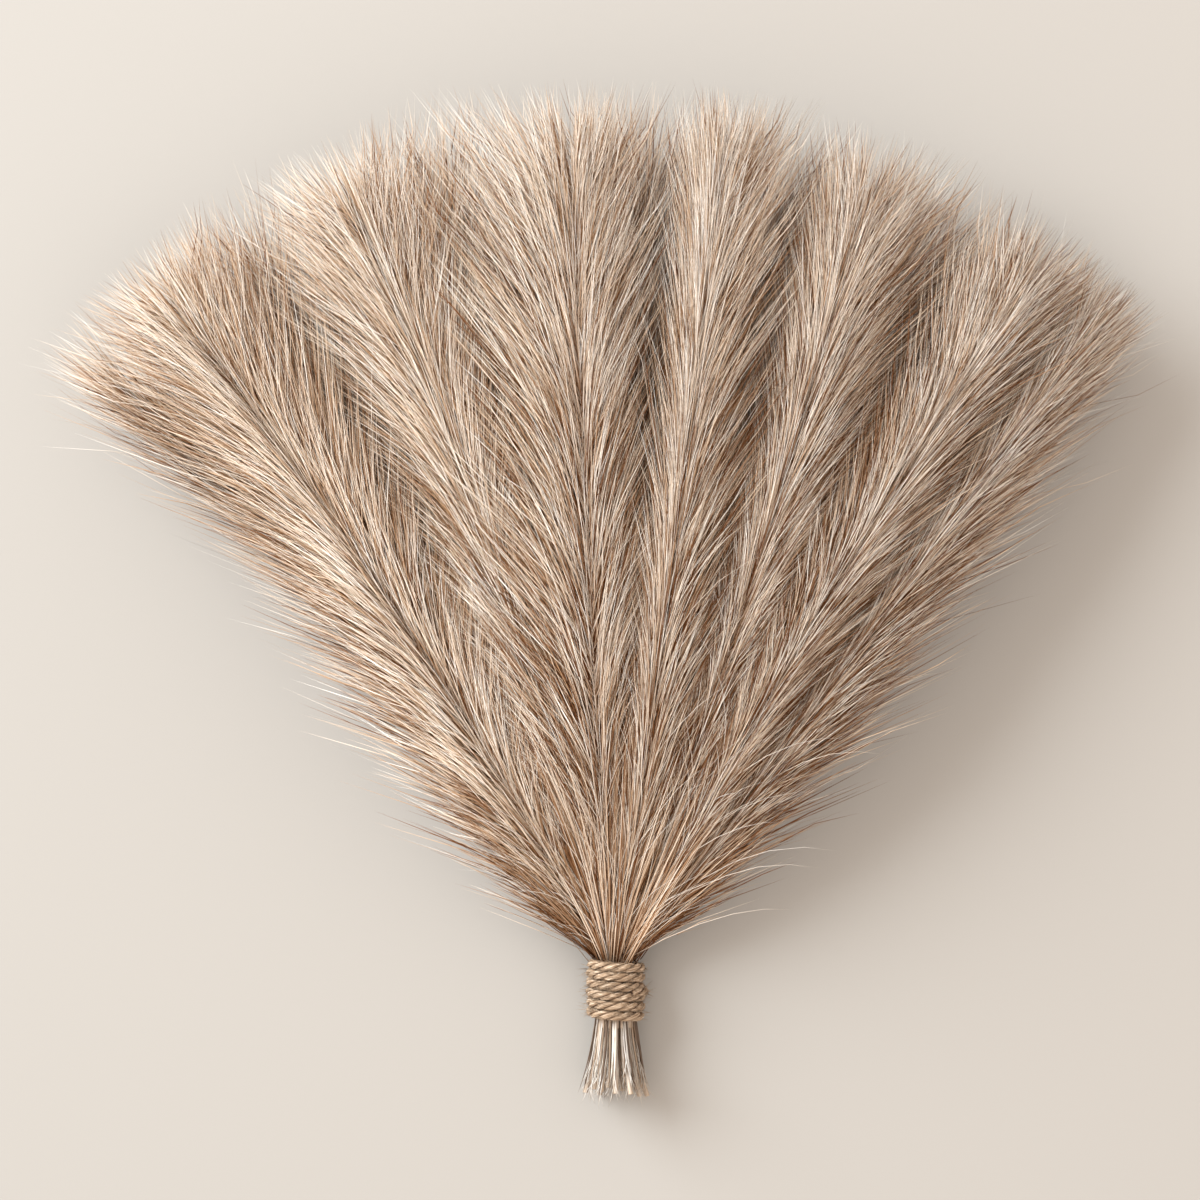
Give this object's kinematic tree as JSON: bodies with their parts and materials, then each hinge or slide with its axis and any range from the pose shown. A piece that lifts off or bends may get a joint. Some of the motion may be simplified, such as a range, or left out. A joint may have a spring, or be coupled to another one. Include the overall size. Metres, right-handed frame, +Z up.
{
  "type": "bundle of pampas grass",
  "caption": "Tied fan of dried pampas grass plumes on cut stalks, bound with coarse twine, lying flat on a surface.",
  "frame": {"origin": "on the surface that the bundle lies on, under the middle of the twine tie", "axes": "+Z up from the surface, +Y along the stalks from the tie to the fan's tips, +X across the fan to the right as seen from above"},
  "size_m": [0.422, 0.4025, 0.0636],
  "materials": {
    "dried_pampas": "dry, matt, feathery straw-beige hair on pale straw stalks",
    "jute_twine": "laid three-strand jute twine, matt and hairy"
  },
  "bodies": {
    "root": {"plume_lower_1": "dried_pampas", "plume_lower_2": "dried_pampas", "plume_lower_3": "dried_pampas", "plume_lower_4": "dried_pampas", "plume_lower_5": "dried_pampas", "plume_lower_6": "dried_pampas", "plume_lower_7": "dried_pampas", "plume_middle_1": "dried_pampas", "plume_middle_2": "dried_pampas", "plume_middle_3": "dried_pampas", "plume_middle_4": "dried_pampas", "plume_middle_5": "dried_pampas", "plume_upper_1": "dried_pampas", "plume_upper_2": "dried_pampas", "plume_upper_3": "dried_pampas", "plume_upper_4": "dried_pampas", "plume_upper_5": "dried_pampas", "plume_upper_6": "dried_pampas", "plume_upper_7": "dried_pampas", "twine_tie": "jute_twine"}
  },
  "joints": []
}
